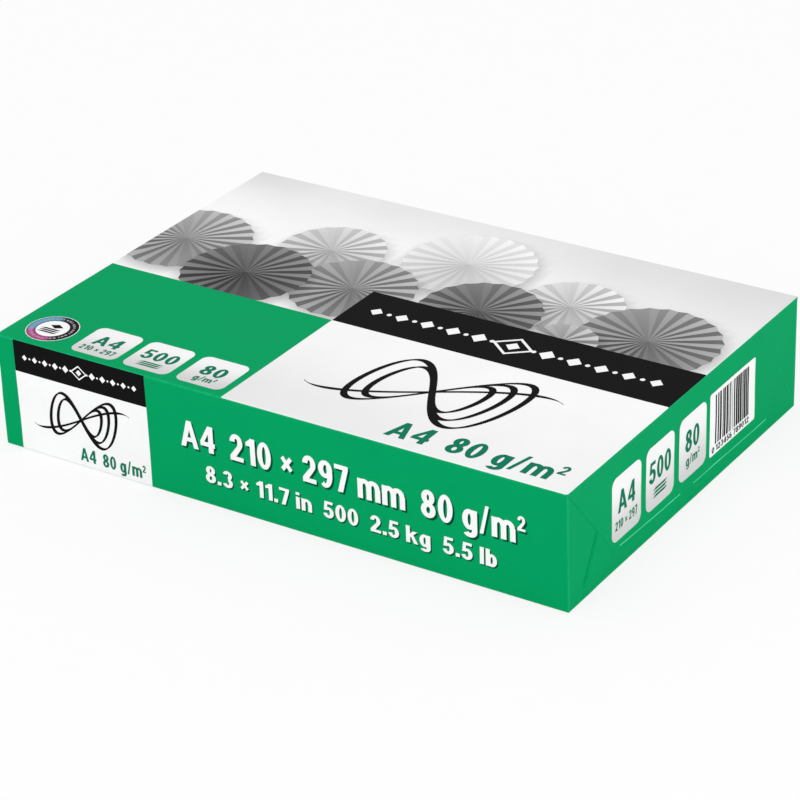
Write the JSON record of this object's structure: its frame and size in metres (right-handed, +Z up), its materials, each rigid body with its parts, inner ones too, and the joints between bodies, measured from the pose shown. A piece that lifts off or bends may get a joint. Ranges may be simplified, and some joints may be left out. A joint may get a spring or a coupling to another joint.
{
  "type": "ream of paper",
  "caption": "Sealed ream of A4 copier paper in a printed paper wrapper, with folded ends and a glued seam along its underside.",
  "frame": {"origin": "on the surface that the ream lies on, under the middle of the ream", "axes": "+Z up; +X along the long side, towards the folded end that the picture shows; -Y towards the long side that the picture shows"},
  "size_m": [0.2996, 0.211, 0.0567],
  "materials": {
    "wrapper_green": "coated wrapping paper printed green, satin",
    "wrapper_white": "coated wrapping paper left white, satin",
    "print_black": "black print on coated wrapping paper, satin",
    "print_grey": "greyscale print on coated wrapping paper, satin",
    "paper_edge": "bare white core of the wrapping paper at its cut edges, matt"
  },
  "bodies": {
    "root": {"wrapped_ream": "wrapper_green"}
  },
  "joints": []
}
